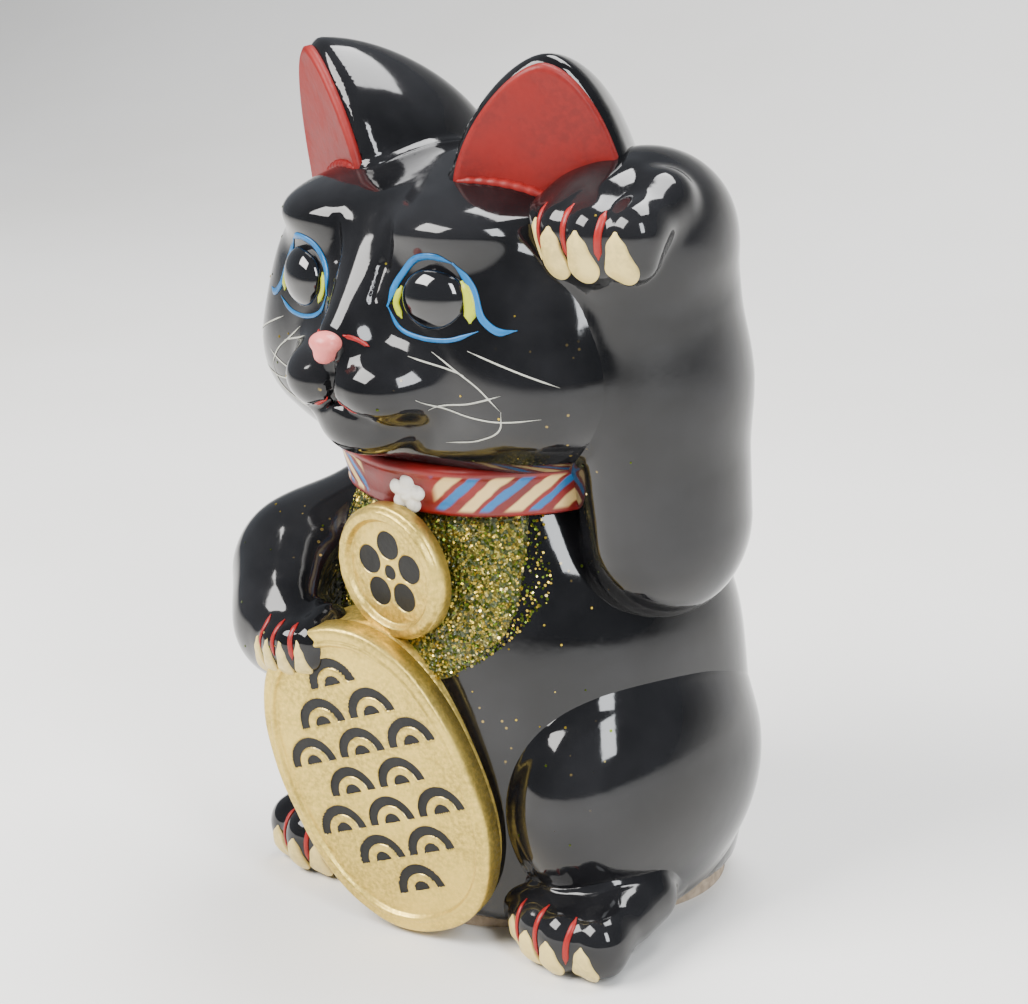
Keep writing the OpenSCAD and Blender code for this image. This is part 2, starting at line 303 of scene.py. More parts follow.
def torso_form():
    heights = (-12, 10, 40, 75, 105, 125, 140, 152, 166, 182)
    widths = [BELLY_HALF_W * s for s in (0.86, 0.95, 1, 1, 0.955, 0.86, 0.74, 0.65, 0.6, 0.6)]
    fronts = [BELLY_FRONT * s for s in (0.8, 0.93, 1, 1.02, 0.97, 0.9, 0.84, 0.78, 0.72, 0.7)]
    backs = [BELLY_BACK * s for s in (0.86, 0.95, 1, 1.01, 0.96, 0.87, 0.77, 0.68, 0.6, 0.58)]
    middles = (18, 19, 20, 20, 18, 14, 10, 7, 6, 6)

    def field(p):
        x, y, z = (p / MM).T
        half = along(z, heights, widths)
        middle = along(z, heights, middles)
        deep = y - middle
        reach = np.where(deep < 0, middle + along(z, heights, fronts), along(z, heights, backs) - middle)
        power = np.where(deep < 0, 2.1, 2.45)
        gauge = (np.abs(x / half) ** power + np.abs(deep / reach) ** power) ** (1 / power)
        return (gauge - 1) * half * 0.9 * MM

    balls = [
        Matrix.Translation(Vector((0, y, z)) * MM) @ Matrix.Diagonal((w * MM, d * MM, h * MM, 1))
        for y, z, w, d, h in ((12, 45, 68, 60, 75), (10, 95, 64, 56, 60), (5, 150, 42, 42, 45))
    ]
    return Clay(field, balls)


def haunch_form():
    return egg((47, 10, 49), (33, 54, 49))


def foot_form():
    foot = limb([(50, 8, 19, 15), (57, -22, 15, 15)], (1.28, 1, 1))
    for x, y in FOOT_TOES:
        back = 57 + (x - 57) * 0.75
        toe = limb([(back, -12, 18, 11), (x, y, 13, 8.4), (x, y - 0.5, 8, 7.8)])
        foot = foot.add(toe, 3.4)
    return foot


def raised_arm_form():
    arm = limb([(66, 6, 141, 31), (64.5, 4, 185, 33), (66, 0, 224, 31)], (0.77, 1, 1), 8)
    arm = arm.add(egg((66, -3, 236), (25, 27, 22)), 10)
    arm = arm.add(egg((64, -20, 238), (20.5, 16, 16)), 8)
    for x, y in RAISED_TOES:
        back = 65 + (x - 65) * 0.85
        toe = limb([(back, -12, 246, 10), (x, y, 240, 7.6), (x, y, 232, 6.6)])
        arm = arm.add(toe, 3.2)
    return arm


def lowered_arm_form():
    arm = limb([(-48, 2, 120, 26), (-62, -29, 107, 25), (-51, -48, 98, 18.5), (-37, -57, 97, 13.5)], soft=12)
    for i, (x, y) in enumerate(LOWERED_TOES):
        toe = limb([(x - 1, -57, 102 + i, 6.8), (x, y, 98 + i * 1.2, 5.6), (x, y - 0.5, 92 + i * 1.4, 5)])
        arm = arm.add(toe, 2.4)
    return arm


def tail_form():
    return limb(
        [(16, 66, 16, 13), (-12, 67, 18, 13), (-38, 64, 24, 12), (-60, 48, 33, 10), (-72, 26, 42, 8)], soft=3
    )


def skull_form():
    head = egg(SKULL, (75, 50, 48.5))
    head = head.add(egg((0, 7, 191), (59, 40, 38)), 18)
    for side in (LEFT, RIGHT):
        head = head.add(egg((34 * side, -13, 189), (42.5, 40.5, 30)), 12)
    return head.add(egg((0, -17, 177), (54, 38, 23)), 8)


def head_form():
    head = skull_form()
    for side in (LEFT, RIGHT):
        head = head.add(egg((24 * side, -35, 238), (23, 22, 9.5)), 12)
        head = head.add(egg((11 * side, -56, 192), (17, 19, 12.5)), 9)
    head = head.add(limb([(0, -42, 233, 10), (0, -64, 207, 8)]), 9)
    return head.add(egg((0, -55, 178), (17, 16, 11)), 8)


EAR_AT = Vector((44.5, -23, 243.5))
EAR_TURN = Euler((math.radians(8.6), 0, math.radians(26)))
EAR_H, EAR_HALF_W, EAR_DEEP = 45, 30, 54


def ear_place():
    return Matrix.Translation(EAR_AT * MM) @ EAR_TURN.to_matrix().to_4x4()


def ear_local(p):
    return (p / MM - np.array(EAR_AT)) @ np.array(EAR_TURN.to_matrix())


def ear_gauge(x, y, z, margin=0.0):
    """Below 1 inside the ear: a half cone with a round back and a round tip."""
    height = EAR_H - margin
    half = EAR_HALF_W - margin
    x = x - 3 * np.clip(z, 0, EAR_H) / EAR_H
    z = z + 0.28 * x * np.clip(1 - z / EAR_H, 0, 1)
    round_part = np.sqrt((x / half) ** 2 + (y / EAR_DEEP) ** 2)
    rise = np.clip(z, 0, None) / height
    return (round_part**1.7 + rise**1.5) ** (1 / 1.6)


def ear_form():
    def field(p):
        x, y, z = ear_local(p).T
        body = (ear_gauge(x, y, z) - 1) * 22 * MM
        return -smooth_min(-body, (y - 0.6) * MM, 6 * MM)

    place = ear_place()
    balls = [
        place @ Matrix.Translation(Vector((x, y, z)) * MM) @ Matrix.Diagonal((a * MM, b * MM, c * MM, 1))
        for x, y, z, a, b, c in ((0, 20, -6, 29, 30, 20), (2, 18, 12, 24, 22, 22), (3, 12, 26, 14, 15, 16))
    ]
    return Clay(field, balls)


# ---- Pieces ---------------------------------------------------------------------------------


def add_piece(name, mesh, material, nodes):
    """Links a finished mesh, whose place is in its vertices, and rides it on the root body."""
    piece = bpy.data.objects.new(name, mesh)
    bpy.context.scene.collection.objects.link(piece)
    mesh.materials.clear()
    mesh.materials.append(material)
    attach(piece, "root")
    if nodes:
        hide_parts(*nodes)


def add_glazed(name, node, form, mesh_name):
    """Sculpts a black-glazed form in place of its CAD node."""
    add_piece(name, sculpted(mesh_name, form), Finishes.get("glaze"), [node])


def mesh_from(bm, name, smooth=True):
    bmesh.ops.recalc_face_normals(bm, faces=bm.faces)
    mesh = bpy.data.meshes.new(name)
    bm.to_mesh(mesh)
    bm.free()
    if smooth:
        mesh.shade_smooth()
    return mesh


def coordinates(mesh):
    flat = np.empty(len(mesh.vertices) * 3)
    mesh.vertices.foreach_get("co", flat)
    return flat.reshape(-1, 3)


def set_coordinates(mesh, points):
    mesh.vertices.foreach_set("co", np.ascontiguousarray(points, float).ravel())
    mesh.update()


def sculpted(name, form, grain=None):
    """A closed mesh of a clay form: rough balls, remeshed evenly, then settled on the field."""
    grain = grain or settings().clay.grain
    bm = bmesh.new()
    for ball in form.balls:
        bmesh.ops.create_icosphere(bm, subdivisions=3, radius=1, matrix=ball)
    rough = bpy.data.objects.new(name + "_rough", mesh_from(bm, name + "_rough"))
    bpy.context.scene.collection.objects.link(rough)
    remesh = rough.modifiers.new("remesh", "REMESH")
    remesh.mode = "VOXEL"
    remesh.voxel_size = grain
    graph = bpy.context.evaluated_depsgraph_get()
    mesh = bpy.data.meshes.new_from_object(rough.evaluated_get(graph))
    bpy.data.objects.remove(rough)
    mesh.name = name
    for _ in range(3):
        set_coordinates(mesh, settled(form, coordinates(mesh), 3))
        relax(mesh, 4)
    set_coordinates(mesh, settled(form, coordinates(mesh), 4))
    mesh.shade_smooth()
    return mesh


def relax(mesh, rounds):
    bm = bmesh.new()
    bm.from_mesh(mesh)
    for _ in range(rounds):
        bmesh.ops.smooth_vert(
            bm, verts=bm.verts, factor=0.5, use_axis_x=True, use_axis_y=True, use_axis_z=True
        )
    bm.to_mesh(mesh)
    bm.free()


def combined(meshes, name):
    """Several loose solids as one mesh."""
    bm = bmesh.new()
    for mesh in meshes:
        bm.from_mesh(mesh)
        bpy.data.meshes.remove(mesh)
    return mesh_from(bm, name)


# A brush stroke's section: how many sides it has, its thickness to its width, and its lift
STROKE_SIDES, STROKE_FLAT, STROKE_LIFT = 10, 0.45, 0.15


def painted_line(form, path, radius, name):
    """A brush stroke: a flattened coil along a path of points laid on the form, in millimetres."""
    knots = np.array(path, float)
    steps = np.concatenate([[0], np.cumsum(np.linalg.norm(np.diff(knots, axis=0), axis=1))])
    count = max(6, int(steps[-1] / 0.7))
    t = np.linspace(0, steps[-1], count)
    centre = np.stack([along(t, steps, knots[:, k]) for k in range(3)], 1)
    centre = settled(form, centre * MM, 8)
    up = slope(form, centre)
    up /= np.linalg.norm(up, axis=1, keepdims=True)
    ahead = np.gradient(centre, axis=0)
    ahead /= np.linalg.norm(ahead, axis=1, keepdims=True)
    out = np.cross(ahead, up)
    share = t / steps[-1]
    width = radius * MM * np.clip(6 * share, 0.3, 1) * np.clip(6 * (1 - share), 0.15, 1)

    def place(column, row):
        i = np.clip(row - 1, 0, count - 1)
        turn = 2 * math.pi * column / STROKE_SIDES
        wide = np.where((row > 0) & (row <= count), width[i], 0)
        across = (np.cos(turn) * wide)[:, None] * out[i]
        return centre[i] + across + (np.sin(turn) * wide * STROKE_FLAT + STROKE_LIFT * MM)[:, None] * up[i]

    return rolled(STROKE_SIDES, count + 2, place, name)


def rolled(columns, rows, place, name):
    """A closed skin: a grid rolled round and welded, its first and last rows each drawn to a point."""
    bm = bmesh.new()
    bmesh.ops.create_grid(bm, x_segments=columns, y_segments=rows - 1, size=0.5)
    spots = np.array([vert.co[:2] for vert in bm.verts]) + 0.5
    column, row = np.rint(spots * (columns, rows - 1)).astype(int).T
    for vert, spot in zip(bm.verts, place(column % columns, row)):
        vert.co = spot
    bmesh.ops.remove_doubles(bm, verts=bm.verts, dist=0.0001 * MM)
    return mesh_from(bm, name)


def lens(columns, rows, front, back, name):
    """Two sheets that meet at their rims: each has its middle point first, then its rings outwards."""

    def place(column, row):
        on_back = row <= rows
        ring = np.where(on_back, row, 2 * rows + 1 - row)
        spot = np.where(ring == 0, 0, 1 + (ring - 1) * columns + column)
        return np.where(on_back[:, None], back[spot], front[spot])

    return rolled(columns, 2 * rows + 2, place, name)


def dense_disc(outline, rows, columns, name, top, bottom, place):
    """A disc with an outline(angle) -> (x, y), its top a height for x, y and share, its bottom flat."""
    rim = np.array([outline(k * 2 * math.pi / columns) for k in range(columns)])
    share = np.concatenate([[0], np.repeat(np.arange(1, rows + 1) / rows, columns)])
    x, y = (np.vstack([rim[:1], np.tile(rim, (rows, 1))]) * share[:, None]).T
    front = np.stack([x, y, top(x, y, share)], 1) * MM
    back = np.stack([x, y, np.full(len(x), bottom)], 1) * MM
    mesh = lens(columns, rows, front, back, name)
    mesh.transform(place)
    return mesh


# ---- Shader maths ---------------------------------------------------------------------------


# Places of the colour sockets on a Mix node, whose sockets share their names
MIX_FACTOR, MIX_A, MIX_B, MIX_COLOUR = 0, 6, 7, 2


class Sock:
    """A shader value whose arithmetic adds the nodes that work it out."""

    def __init__(self, tree, socket):
        self.tree = tree
        self.socket = socket

    def node(self, kind, inputs=(), out=0, **options):
        """A new node: its settings first, then the values or links of its sockets."""
        made = self.tree.nodes.new(kind)
        for key, value in options.items():
            setattr(made, key, value)
        for key, value in dict(inputs).items():
            target = made.inputs[key]
            if isinstance(value, Sock):
                self.tree.links.new(value.socket, target)
            else:
                target.default_value = value
        return Sock(self.tree, made.outputs[out])

    def math(self, operation, *values):
        return self.node("ShaderNodeMath", dict(enumerate(values)), operation=operation)

    def __add__(self, other):
        return self.math("ADD", self, other)

    __radd__ = __add__

    def __mul__(self, other):
        return self.math("MULTIPLY", self, other)

    __rmul__ = __mul__

    def __sub__(self, other):
        return self.math("SUBTRACT", self, other)

    def __rsub__(self, other):
        return self.math("SUBTRACT", other, self)

    def fract(self):
        return self.math("FRACT", self)

    def between(self, low, high, to_low=0.0, to_high=1.0):
        """Maps low..high to to_low..to_high with a smooth step."""
        inputs = {"Value": self, "From Min": low, "From Max": high, "To Min": to_low, "To Max": to_high}
        return self.node("ShaderNodeMapRange", inputs, interpolation_type="SMOOTHSTEP")

    def mix(self, a, b):
        """Colour a where this is 0, colour b where it is 1."""
        inputs = {MIX_FACTOR: self, MIX_A: rgba(a), MIX_B: rgba(b)}
        return self.node("ShaderNodeMix", inputs, out=MIX_COLOUR, data_type="RGBA")


def rgba(colour):
    return colour if isinstance(colour, Sock) else (*colour[:3], 1.0)


class Paint:
    """A material with one Principled shader, and the inputs its maths starts from."""

    def __init__(self, name, **fixed):
        self.material = bpy.data.materials.new(name)
        self.material.use_nodes = True
        self.tree = self.material.node_tree
        self.shader = self.tree.nodes["Principled BSDF"]
        self.root = Sock(self.tree, None)
        self.set(**fixed)

    def set(self, **values):
        for key, value in values.items():
            target = self.shader.inputs[key.replace("_", " ")]
            if isinstance(value, Sock):
                self.tree.links.new(value.socket, target)
            elif isinstance(value, tuple) and len(value) == 3:
                target.default_value = (*value, 1.0)
            else:
                target.default_value = value
        return self

    def place(self):
        return self.root.node("ShaderNodeTexCoord", out="Object")

    def axes(self):
        split = self.root.node("ShaderNodeSeparateXYZ", {"Vector": self.place()})
        outputs = split.socket.node.outputs
        return [Sock(self.tree, outputs[k]) for k in range(3)]

    def noise(self, scale, detail=3.0, roughness=0.55):
        inputs = {"Vector": self.place(), "Scale": scale, "Detail": detail, "Roughness": roughness}
        return self.root.node("ShaderNodeTexNoise", inputs)

    def cells(self, scale, out="Distance", feature="F1"):
        inputs = {"Vector": self.place(), "Scale": scale}
        return self.root.node("ShaderNodeTexVoronoi", inputs, out, feature=feature)

    def attribute(self, name):
        return self.root.node("ShaderNodeAttribute", out="Fac", attribute_name=name)

    def bump(self, height, distance, strength=1.0):
        inputs = {"Height": height, "Distance": distance, "Strength": strength}
        self.set(Normal=self.root.node("ShaderNodeBump", inputs))
        return self


def black_glaze():
    paint = Paint("black_glaze", IOR=1.42, Coat_Weight=0.12, Coat_Roughness=0.03)
    tone = settings().paint.glaze
    cloud = paint.noise(28, 4).between(0.35, 0.7)
    dust = paint.noise(420, 2).between(0.60, 0.72)
    _, y, z = paint.axes()
    near = y.between(-0.035, -0.015, 1, 0) * (z - 0.13).math("ABSOLUTE", z - 0.13).between(0.02, 0.09, 1, 0)
    speck = paint.cells(300).between(0.10, 0.17, 1, 0) * paint.noise(60, 2).between(0.60, 0.66) * near
    worn = [min(1, c * 2.6 + 0.002) for c in tone]
    base = (speck * 0.85).mix(cloud.mix(tuple(tone), worn), (0.50, 0.36, 0.10))
    paint.set(Base_Color=base)
    paint.set(Roughness=cloud * 0.04 + dust * 0.05 + 0.06)
    paint.set(Metallic=speck * 0.8)
    swell = paint.noise(46, 2) * 0.7 + paint.noise(150, 2) * 0.3
    return paint.bump(swell, 0.0006, 0.25).material


def bare_clay():
    paint = Paint("bare_clay", IOR=1.45)
    tone = (0.42, 0.33, 0.24)
    grain = paint.noise(340, 5)
    stain = paint.noise(26, 3).between(0.4, 0.68)
    dark = tuple(c * 0.62 for c in tone)
    pale = tuple(min(1, c * 1.15) for c in tone)
    base = stain.mix(grain.between(0.3, 0.7).mix(dark, pale), tuple(c * 0.8 for c in tone))
    paint.set(Base_Color=base, Roughness=grain * 0.15 + 0.75)
    return paint.bump(grain, 0.0004, 0.6).material


def enamel(name, colour, shine=0.28, wear=0.7):
    """Hand-brushed paint over glaze: uneven thickness, faint brush marks, darker in thin spots."""
    paint = Paint(name, IOR=1.4)
    patch = paint.noise(60, 4).between(0.36, 0.66)
    grain = paint.noise(520, 3)
    thin = tuple(c * wear for c in colour)
    thick = tuple(min(1, c * 1.08) for c in colour)
    base = grain.between(0.3, 0.72).mix(patch.mix(thin, thick), tuple(colour))
    paint.set(Base_Color=base, Roughness=patch * 0.12 + grain * 0.08 + shine)
    return paint.bump(grain * 0.5 + patch, 0.0004, 0.45).material


def collar_red():
    paint = Paint("collar_red", IOR=1.48)
    colour = settings().paint.red
    x, y, z = paint.axes()
    turn = x.math("ARCTAN2", x, y * -1.0)
    patch = paint.noise(70, 4).between(0.36, 0.66)
    grain = paint.noise(480, 3)
    base = patch.mix(tuple(c * 0.65 for c in colour), tuple(min(1, c * 1.15) for c in colour))
    slant = turn * 0.052 + (z - 0.155) * turn.math("SIGN", turn) * -1.15
    cycle = (slant * 62.0 + paint.noise(90, 2) * 0.25).fract()
    height = (z - 0.1545).math("ABSOLUTE", z - 0.1545).between(0.0052, 0.0066, 1, 0)
    away = turn.math("ABSOLUTE", turn).between(0.30, 0.36)
    cream = cycle.between(0.06, 0.14) * cycle.between(0.40, 0.48, 1, 0) * height * away
    blue = cycle.between(0.56, 0.62) * cycle.between(0.80, 0.88, 1, 0) * height * away
    base = cream.mix(base, tuple(settings().paint.cream))
    base = blue.mix(base, tuple(settings().paint.blue))
    paint.set(Base_Color=base, Roughness=patch * 0.12 + grain * 0.1 + 0.3)
    return paint.bump(grain * 0.4 + patch * 0.5 + cream * 0.8 + blue * 0.6, 0.0004, 0.5).material


def gilding(name="gold_paint", sunk=False):
    """Gold paint with fine flake; where the sunk attribute is 1 the ground is black."""
    paint = Paint(name, IOR=1.5)
    colour = settings().paint.gold
    flake = paint.cells(1500, out="Color")
    spark = paint.root.node("ShaderNodeSeparateColor", {"Color": flake})
    grain = paint.noise(700, 3)
    patch = paint.noise(34, 4).between(0.38, 0.66)
    dull = tuple(c * 0.62 for c in colour)
    bright = tuple(min(1, c * 1.1) for c in colour)
    base = grain.between(0.3, 0.75).mix(patch.mix(dull, tuple(colour)), bright)
    metal = 0.75 + spark * 0.15
    rough = 0.30 + spark * 0.20
    if sunk:
        ground = (paint.attribute("sunk") + (paint.noise(260, 3) - 0.5) * 0.5).between(0.38, 0.60)
        base = ground.mix(base, (0.004, 0.004, 0.004))
        metal = metal * (1.0 - ground)
        rough = rough - ground * 0.12
    paint.set(Base_Color=base, Metallic=metal, Roughness=rough)
    return paint.bump(grain * 0.5 + spark * 0.5, 0.0003, 0.55).material


def glitter_ground():
    paint = Paint("glitter_ground", IOR=1.5, Coat_Weight=0.4, Coat_Roughness=0.15)
    hue = paint.root.node("ShaderNodeSeparateColor", {"Color": paint.cells(780, out="Color")})
    depth = paint.cells(780)
    gold = hue.between(0.45, 0.62)
    bright = paint.noise(900, 2).between(0.5, 0.68)
    dark = bright.mix((0.030, 0.042, 0.004), (0.10, 0.12, 0.012))
    base = gold.mix(dark, bright.mix((0.16, 0.13, 0.015), (0.52, 0.44, 0.10)))
    paint.set(Base_Color=base, Metallic=gold * 0.75, Roughness=0.25 + hue * 0.3)
    return paint.bump(hue * 0.6 + depth * 1.2, 0.0012, 0.9).material


def flake_metal():
    paint = Paint("glitter_flake", IOR=1.5)
    shade = paint.attribute("shade")
    gold = shade.between(0.52, 0.58)
    pale = shade.between(0.90, 0.94)
    sheen = paint.noise(1200, 2) * 0.25
    base = gold.mix((0.055, 0.08, 0.005), (0.44, 0.31, 0.04))
    base = pale.mix(base, (0.75, 0.62, 0.25))
    paint.set(Base_Color=base, Metallic=0.9, Roughness=0.18 + sheen)
    return paint.material


def eye_black():
    paint = Paint("eye_black", IOR=1.52, Coat_Weight=0.6, Coat_Roughness=0.02)
    cloud = paint.noise(90, 3)
    paint.set(Base_Color=cloud.mix((0.0025, 0.0025, 0.003), (0.006, 0.006, 0.007)))
    paint.set(Roughness=cloud * 0.04 + 0.05)
    return paint.bump(paint.noise(110, 2), 0.0004, 0.2).material


def soft_plug():
    paint = Paint("soft_plug", IOR=1.47)
    cloud = paint.noise(120, 4)
    paint.set(Base_Color=cloud.mix((0.016, 0.016, 0.018), (0.038, 0.038, 0.04)))
    paint.set(Roughness=cloud * 0.2 + 0.5)
    return paint.bump(paint.noise(700, 3), 0.0002, 0.5).material


class Finishes:
    """The cat's materials, made once."""

    made = {}

    @classmethod
    def get(cls, name):
        if name not in cls.made:
            cls.made[name] = cls.recipes()[name]()
        return cls.made[name]

    @staticmethod
    def recipes():
        paint = settings().paint
        return {
            "glaze": black_glaze,
            "clay": bare_clay,
            "ear": lambda: enamel("ear_red", paint.red, 0.42, 0.72),
            "collar": collar_red,
            "white": lambda: enamel("flower_white", (0.80, 0.76, 0.66), 0.3, 0.62),
            "glitter": glitter_ground,
            "flake": flake_metal,
            "gold": gilding,
            "sunk_gold": lambda: gilding("sunk_gold", sunk=True),
            "sunk_black": lambda: enamel("sunk_black", (0.004, 0.004, 0.004), 0.42, 0.6),
            "pink": lambda: enamel("nose_pink", paint.pink, 0.25, 0.8),
            "red_line": lambda: enamel("red_line", (0.30, 0.012, 0.010), 0.3, 0.7),
            "blue_line": lambda: enamel("blue_line", paint.blue, 0.25, 0.7),
            "yellow_line": lambda: enamel("yellow_line", paint.yellow, 0.25, 0.7),
            "claw": lambda: enamel("claw_gold", (0.74, 0.57, 0.20), 0.28, 0.75),
            "whisker": lambda: enamel("whisker_line", (0.46, 0.46, 0.40), 0.35, 0.7),
            "eye": eye_black,
            "plug": soft_plug,
        }


# ---- Operators ------------------------------------------------------------------------------


class CAT_OT_body(bpy.types.Operator):
    """Models the torso, haunches, hind feet and tail in black glaze"""

    bl_idname = "cat.body"
    bl_label = "Body"

    def execute(self, context):
        add_glazed("torso", "torso_shell", only_above(torso_form(), 6.05), "torso")
        for side, word in ((LEFT, "left"), (RIGHT, "right")):
            haunch = haunch_form()
            foot = foot_form()
            if side == RIGHT:
                haunch, foot = haunch.mirrored(), foot.mirrored()
            seat = only_above(seated(haunch, torso_form()), 0.3)
            node = word + "_haunch"
            add_glazed(node + "_form", node, seat, node)
            seat = only_above(seated(foot, haunch, torso_form()), 0.1)
            node = word + "_hind_foot"
            add_glazed(node + "_form", node, seat, node)
        tail = only_above(seated(tail_form(), haunch_form().mirrored(), torso_form()), 0.3)
        add_glazed("tail_form", "tail", tail, "tail")
        return {"FINISHED"}


class CAT_OT_arms(bpy.types.Operator):
    """Models the raised left arm and the lowered right arm"""

    bl_idname = "cat.arms"
    bl_label = "Arms"

    def execute(self, context):
        raised = seated(raised_arm_form(), torso_form(), head_form())
        add_glazed("raised_arm_form", "raised_arm", raised, "raised_arm")
        lowered = seated(lowered_arm_form(), torso_form())
        add_glazed("lowered_arm_form", "lowered_arm", lowered, "lowered_arm")
        return {"FINISHED"}


class CAT_OT_head(bpy.types.Operator):
    """Models the head with its brow, muzzle, mouth and coin slot, and both ears"""

    bl_idname = "cat.head"
    bl_label = "Head"

    def execute(self, context):
        head = slotted(sculpted("head", face_form()))
        add_piece("head", head, Finishes.get("glaze"), ["head_shell"])
        for side, word in ((LEFT, "left"), (RIGHT, "right")):
            ear = ear_form() if side == LEFT else ear_form().mirrored()
            node = word + "_ear"
            add_glazed(node + "_form", node, seated(ear, head_form()), node)
            mesh = ear_lining(node + "_lining")
            if side == RIGHT:
                mesh.transform(Matrix.Scale(-1, 4, (1, 0, 0)))
                mesh.flip_normals()
            add_piece(node + "_red", mesh, Finishes.get("ear"), [node + "_lining"])
        return {"FINISHED"}


def slotted(mesh):
    """The head with the coin slot cut straight into its back."""
    bm = bmesh.new()
    rim = []
    for side in (1, -1):
        for k in range(13):
            a = math.pi * (k / 12 - 0.5)
            rim.append(Vector((side * (17 + 3 * math.cos(a)), 14, 226 + side * 3 * math.sin(a))) * MM)
    face = bm.faces.new([bm.verts.new(spot) for spot in rim])
    made = bmesh.ops.extrude_face_region(bm, geom=[face])
    far = [item for item in made["geom"] if isinstance(item, bmesh.types.BMVert)]
    bmesh.ops.translate(bm, vec=(0, 46 * MM, 0), verts=far)
    cutter = bpy.data.objects.new("slot_cutter", mesh_from(bm, "slot_cutter", smooth=False))
    whole = bpy.data.objects.new("head_whole", mesh)
    for part in (cutter, whole):
        bpy.context.scene.collection.objects.link(part)
    cut = whole.modifiers.new("slot", "BOOLEAN")
    cut.operation = "DIFFERENCE"
    cut.object = cutter
    graph = bpy.context.evaluated_depsgraph_get()
    result = bpy.data.meshes.new_from_object(whole.evaluated_get(graph))
    for part in (cutter, whole):
        bpy.data.objects.remove(part)
    result.name = "head_slotted"
    result.shade_smooth()
    result.set_sharp_from_angle(angle=math.radians(45))
    return result


FACE_GROOVES = (
    ([(11, -57, 240), (10.5, -58, 228), (9, -61, 218)], [0.5, 1.6, 0.5]),
    ([(0, -66, 200), (0, -70, 196), (0, -70, 188.5)], [0.5, 0.9, 1.0]),
    ([(0, -70, 188.5), (6, -70, 186), (12.5, -68, 185.5)], [0.9, 0.8, 0.3]),
)


def face_form():
    head = head_form()
    for path, radii in FACE_GROOVES:
        head = head.groove(path, radii, 2.5)
        head = head.groove([(-x, y, z) for x, y, z in path], radii, 2.5)
    return head


def ear_outline(angle, margin):
    """The edge of an ear's red face at an angle about a point low on the face."""
    low, high = 2.0, 60.0
    for _ in range(30):
        reach = (low + high) / 2
        x = np.array([2 + reach * math.cos(angle)])
        z = np.array([12 + reach * math.sin(angle)])
        inside = ear_gauge(x, 0 * x, z, margin)[0] < 1 and z[0] + 0.28 * x[0] > -5
        low, high = (reach, high) if inside else (low, reach)
    return (low * math.cos(angle), low * math.sin(angle))


def ear_lining(name):
    """The red face of the left ear, gently dished, and the lip where it meets the head."""
    place = ear_place() @ Matrix.Translation(Vector((2, 0, 12)) * MM) @ Matrix.Rotation(math.pi / 2, 4, "X")

    def face(x, y, share):
        return 0.9 - 0.7 * (1 - share**4) - 0.9 * soft_step(share, 0.97, 1.0) ** 2

    panel = dense_disc(lambda a: ear_outline(a, 2.2), 26, 160, name + "_panel", face, -2.0, place)
    head = head_form()
    turn = np.array(ear_place())
    path = []
    for x in np.linspace(-25.5, 27.5, 15):
        low, high = -20.0, 30.0
        for _ in range(24):
            z = (low + high) / 2
            spot = (turn[:3, :3] @ (np.array([x, -0.4, z]) * MM) + turn[:3, 3])[None]
            low, high = (z, high) if head(spot)[0] < 0 else (low, z)
        path.append((*(spot[0] / MM), 1.35 - 0.7 * abs(x / 28) ** 3))
    lip = sculpted(name + "_lip", limb(path, soft=2), 0.0006)
    return combined([panel, lip], name)


# The collar's section, as radius and height, anticlockwise from its hidden inner edge
COLLAR_PROFILE = (
    (40, 0.4), (47.4, 0), (48.4, 0.6), (48.8, 1.6), (48.5, 3), (48.9, 4.2), (50, 9), (50.7, 12.4),
    (51.2, 13.2), (52, 13.8), (52.3, 15.2), (51.8, 16.4), (50.6, 17), (42, 17),
)
# Inside this radius the collar is hidden and true; its outside is a little uneven
COLLAR_BORE, COLLAR_Z = 45, 146.5


class CAT_OT_collar(bpy.types.Operator):
    """Models the flared collar with its raised lips, and the flower on it"""

    bl_idname = "cat.collar"
    bl_label = "Collar"

    def execute(self, context):
        bm = bmesh.new()
        ring = [bm.verts.new((0, -r, h)) for r, h in COLLAR_PROFILE]
        for low, high in zip(ring, ring[1:] + ring[:1]):
            bm.edges.new((low, high))
        bmesh.ops.spin(
            bm, geom=bm.verts[:] + bm.edges[:], axis=(0, 0, 1), angle=2 * math.pi, steps=160, use_merge=True
        )
        for vert in bm.verts:
            r = math.hypot(vert.co.x, vert.co.y)
            a = math.atan2(vert.co.x, -vert.co.y)
            r += (0.25 * math.sin(5 * a + 0.6) + 0.18 * math.sin(11 * a + 2)) * (r > COLLAR_BORE)
            vert.co = Vector((1.06 * r * math.sin(a), 1 - r * math.cos(a), COLLAR_Z + vert.co.z)) * MM
        mesh = mesh_from(bm, "collar")
        add_piece("collar", mesh, Finishes.get("collar"), ["collar_band"])
        flower = egg((0, 0, 0), (2.9, 2.9, 2.4))
        for i in range(5):
            a = math.radians(i * 72 + 8)
            flower = flower.add(egg((4.1 * math.sin(a), 4.1 * math.cos(a), 0), (2.6, 2.6, 2.0)), 0.8)
        flower = flower.groove([(-1.2, 0, 3), (1.2, 0.4, 3)], [0.35, 0.35], 0.5)
        mesh = sculpted("flower", flower, 0.0005)
        turn = Euler((math.radians(96), 0, 0.12)).to_matrix().to_4x4()
        mesh.transform(Matrix.Translation(Vector((6, -48.5, 153)) * MM) @ turn)
        add_piece("flower", mesh, Finishes.get("white"), ["collar_flower"])
        return {"FINISHED"}


def in_front(form, x, z):
    """The y where the form's front is met from -Y at (x, z), in millimetres."""
    y = np.full(len(x), -95.0)
    for _ in range(60):
        gap = form(np.stack([x, y, z], 1) * MM) / MM
        y = y + np.clip(gap, -4, 4) * 0.85
        if np.abs(gap).max() < 0.01:
            break
    return y


